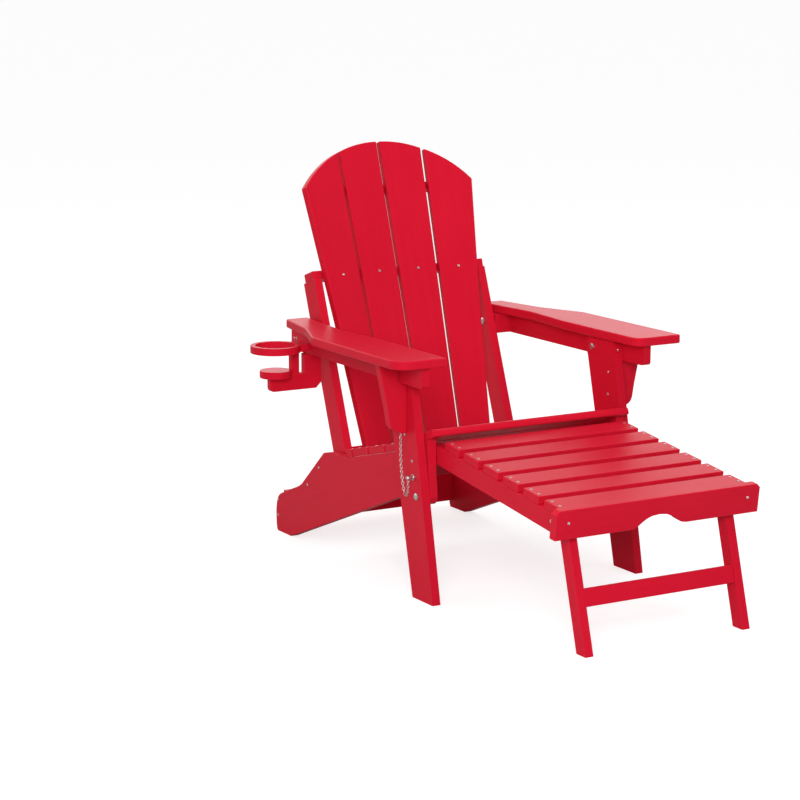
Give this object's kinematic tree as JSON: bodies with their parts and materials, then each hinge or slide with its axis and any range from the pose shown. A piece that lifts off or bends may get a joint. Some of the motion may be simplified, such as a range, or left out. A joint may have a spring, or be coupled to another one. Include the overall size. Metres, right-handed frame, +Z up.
{
  "type": "adirondack chair",
  "caption": "Folding adirondack garden chair of plastic boards with an arched slatted back, wide arms, a cup holder and a pull-out slatted ottoman.",
  "frame": {"origin": "on the ground, in the middle of the chair's bounding box with the ottoman pulled out", "axes": "+X to the sitter's left, -Y the way the sitter faces, +Z up"},
  "size_m": [0.8044, 1.2674, 0.9451],
  "materials": {
    "lumber": "red plastic lumber with a fine brushed grain",
    "hardware": "stainless steel"
  },
  "bodies": {
    "seat_frame": {"stringer_right": "lumber", "stringer_left": "lumber", "seat_slat_1": "lumber", "seat_slat_2": "lumber", "seat_slat_3": "lumber", "seat_slat_4": "lumber", "seat_slat_5": "lumber", "seat_slat_6": "lumber", "rear_stretcher": "lumber", "rear_panel": "lumber"},
    "back": {"back_slat_outer_right": "lumber", "back_slat_inner_right": "lumber", "back_slat_inner_left": "lumber", "back_slat_outer_left": "lumber", "back_bar_top": "lumber", "back_bar_middle": "lumber", "back_bar_bottom": "lumber", "post_right": "lumber", "post_left": "lumber", "back_bolt_left": "hardware", "back_bolt_right": "hardware"},
    "leg_right": {"front_leg_right": "lumber", "corbel_right": "lumber", "fold_bolt_right": "hardware", "arm_leg_bolt_right": "hardware", "pin_chain_right": "hardware"},
    "leg_left": {"front_leg_left": "lumber", "corbel_left": "lumber", "fold_bolt_left": "hardware", "arm_leg_bolt_left": "hardware", "pin_chain_left": "hardware"},
    "arm_right": {"arm_right": "lumber", "arm_rail_right": "lumber", "arm_block_right": "lumber", "arm_post_bolt_right": "hardware", "cup_ring": "lumber", "cup_plate": "lumber", "cup_base": "lumber"},
    "arm_left": {"arm_left": "lumber", "arm_rail_left": "lumber", "arm_block_left": "lumber", "arm_post_bolt_left": "hardware"},
    "pin_right": {"lock_pin_right": "hardware"},
    "pin_left": {"lock_pin_left": "hardware"},
    "guide_rod": {"ottoman_guide_rod": "hardware"},
    "ottoman": {"ottoman_rail_right": "lumber", "ottoman_rail_left": "lumber", "ottoman_slat_1": "lumber", "ottoman_slat_2": "lumber", "ottoman_slat_3": "lumber", "ottoman_slat_4": "lumber", "ottoman_slat_5": "lumber", "ottoman_slat_6": "lumber", "ottoman_apron": "lumber", "ottoman_leg_bolt_left": "hardware", "ottoman_leg_bolt_right": "hardware"},
    "ottoman_legs": {"ottoman_leg_right": "lumber", "ottoman_leg_left": "lumber", "ottoman_crossbar": "lumber"}
  },
  "joints": [
    {"name": "back_fold", "type": "hinge", "parent": "seat_frame", "child": "back", "pos_m": [0.03215, 0.32267, 0.238], "axis": [1, 0, 0], "range_deg": [0, 72]},
    {"name": "leg_right_fold", "type": "hinge", "parent": "seat_frame", "child": "leg_right", "pos_m": [0.03215, -0.08233, 0.23], "axis": [1, 0, 0], "range_deg": [0, 72]},
    {"name": "leg_left_fold", "type": "hinge", "parent": "seat_frame", "child": "leg_left", "pos_m": [0.03215, -0.08233, 0.23], "axis": [1, 0, 0], "range_deg": [0, 72]},
    {"name": "arm_right_level", "type": "hinge", "parent": "leg_right", "child": "arm_right", "pos_m": [0.03215, 0.03467, 0.5], "axis": [1, 0, 0], "range_deg": [-72, 0]},
    {"name": "arm_left_level", "type": "hinge", "parent": "leg_left", "child": "arm_left", "pos_m": [0.03215, 0.03467, 0.5], "axis": [1, 0, 0], "range_deg": [-72, 0]},
    {"name": "pin_right_pull", "type": "slide", "parent": "leg_right", "child": "pin_right", "axis": [-1, 0, 0], "range_m": [0, 0.05]},
    {"name": "pin_left_pull", "type": "slide", "parent": "leg_left", "child": "pin_left", "axis": [1, 0, 0], "range_m": [0, 0.05]},
    {"name": "ottoman_slide", "type": "slide", "parent": "seat_frame", "child": "guide_rod", "axis": [0, 0.9304, -0.3665], "range_m": [0, 0.46]},
    {"name": "ottoman_tilt", "type": "hinge", "parent": "guide_rod", "child": "ottoman", "pos_m": [0.03215, -0.07933, 0.324], "axis": [1, 0, 0], "range_deg": [-24.7, 0]},
    {"name": "ottoman_legs_fold", "type": "hinge", "parent": "ottoman", "child": "ottoman_legs", "pos_m": [0.03215, -0.54188, 0.26739], "axis": [1, 0, 0], "range_deg": [0, 110]}
  ],
  "couplings": [
    {"joint": "leg_right_fold", "follows": "back_fold", "ratio": 1},
    {"joint": "leg_left_fold", "follows": "back_fold", "ratio": 1},
    {"joint": "arm_right_level", "follows": "back_fold", "ratio": -1},
    {"joint": "arm_left_level", "follows": "back_fold", "ratio": -1},
    {"joint": "ottoman_tilt", "follows": "ottoman_slide", "rad_per_m": -0.93337}
  ]
}
